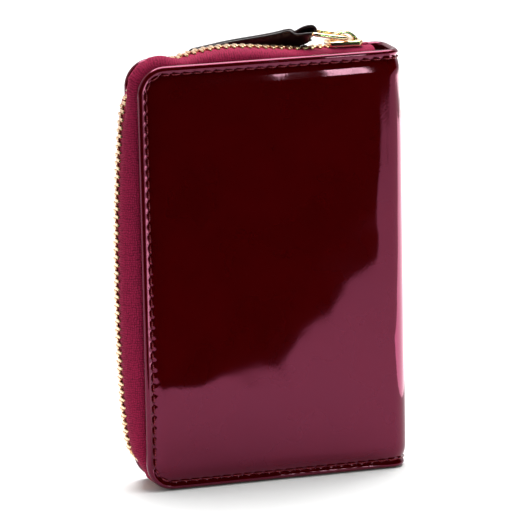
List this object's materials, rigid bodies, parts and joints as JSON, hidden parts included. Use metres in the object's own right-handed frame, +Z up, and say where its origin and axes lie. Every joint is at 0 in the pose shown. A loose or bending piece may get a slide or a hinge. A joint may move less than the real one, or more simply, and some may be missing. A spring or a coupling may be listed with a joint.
{
  "type": "round-zip wallet",
  "caption": "Compact patent leather wallet with a metal zip round three sides, a folding spine, card panels and a gusseted coin pocket.",
  "frame": {"origin": "under the middle of the closed wallet's box, on the surface it stands on", "axes": "+X towards the spine, -Y out of the front leaf, +Z up along the spine"},
  "size_m": [0.0896, 0.0172, 0.1374],
  "materials": {
    "patent_leather": "gloss",
    "board": "matte",
    "filler": "matte",
    "lining": "matte",
    "thread": "satin",
    "zip_tape": "matte",
    "zip_metal": "polished",
    "slider_metal": "polished",
    "tab_leather": "satin",
    "tab_thread": "matte",
    "inner_leather": "satin"
  },
  "bodies": {
    "spine": {"spine_cover": "patent_leather", "spine_board": "board", "spine_filler": "filler", "spine_lining": "lining", "spine_stitching": "thread"},
    "front_leaf": {"front_cover": "patent_leather", "front_board": "board", "front_filler": "filler", "front_lining": "lining", "front_stitching": "thread", "front_zip_tape": "zip_tape", "front_zip_teeth": "zip_metal", "front_top_stop": "zip_metal", "note_pocket_panel": "inner_leather", "card_panel_1": "inner_leather", "card_panel_2": "inner_leather", "card_panel_3": "inner_leather", "card_panel_4": "inner_leather"},
    "back_leaf": {"back_cover": "patent_leather", "back_board": "board", "back_filler": "filler", "back_lining": "lining", "back_stitching": "thread", "back_zip_tape": "zip_tape", "back_zip_teeth": "zip_metal", "back_top_stop": "zip_metal", "zip_bottom_stop": "zip_metal", "coin_pocket_panel": "inner_leather", "coin_pocket_base": "inner_leather", "coin_gusset_upper": "lining", "coin_gusset_lower": "lining"},
    "slider": {"slider_body": "slider_metal", "slider_bridge": "slider_metal"},
    "ring": {"pull_ring": "slider_metal"},
    "tab": {"pull_tab": "tab_leather", "pull_tab_stitching": "tab_thread"}
  },
  "joints": [
    {"name": "front_fold", "type": "hinge", "parent": "spine", "child": "front_leaf", "pos_m": [0.04368, -0.00743, 0.065], "axis": [0, 0, 1], "range_deg": [0, 90], "deforming": ["front_zip_tape", "front_zip_teeth", "front_top_stop"]},
    {"name": "back_fold", "type": "hinge", "parent": "spine", "child": "back_leaf", "pos_m": [0.04368, 0.00743, 0.065], "axis": [0, 0, -1], "range_deg": [0, 90], "deforming": ["back_zip_tape", "back_zip_teeth", "back_top_stop"]},
    {"name": "slider_travel", "type": "slide", "parent": "back_leaf", "child": "slider", "axis": [-0.9991, 0, 0.0421], "range_m": [0, 0.038]},
    {"name": "ring_swing", "type": "hinge", "parent": "slider", "child": "ring", "pos_m": [0.02855, 0, 0.1336], "axis": [0, 1, 0], "range_deg": [0, 150]},
    {"name": "tab_swing", "type": "hinge", "parent": "ring", "child": "tab", "pos_m": [0.01775, 0, 0.13566], "axis": [0, 1, 0], "range_deg": [0, 30]}
  ]
}
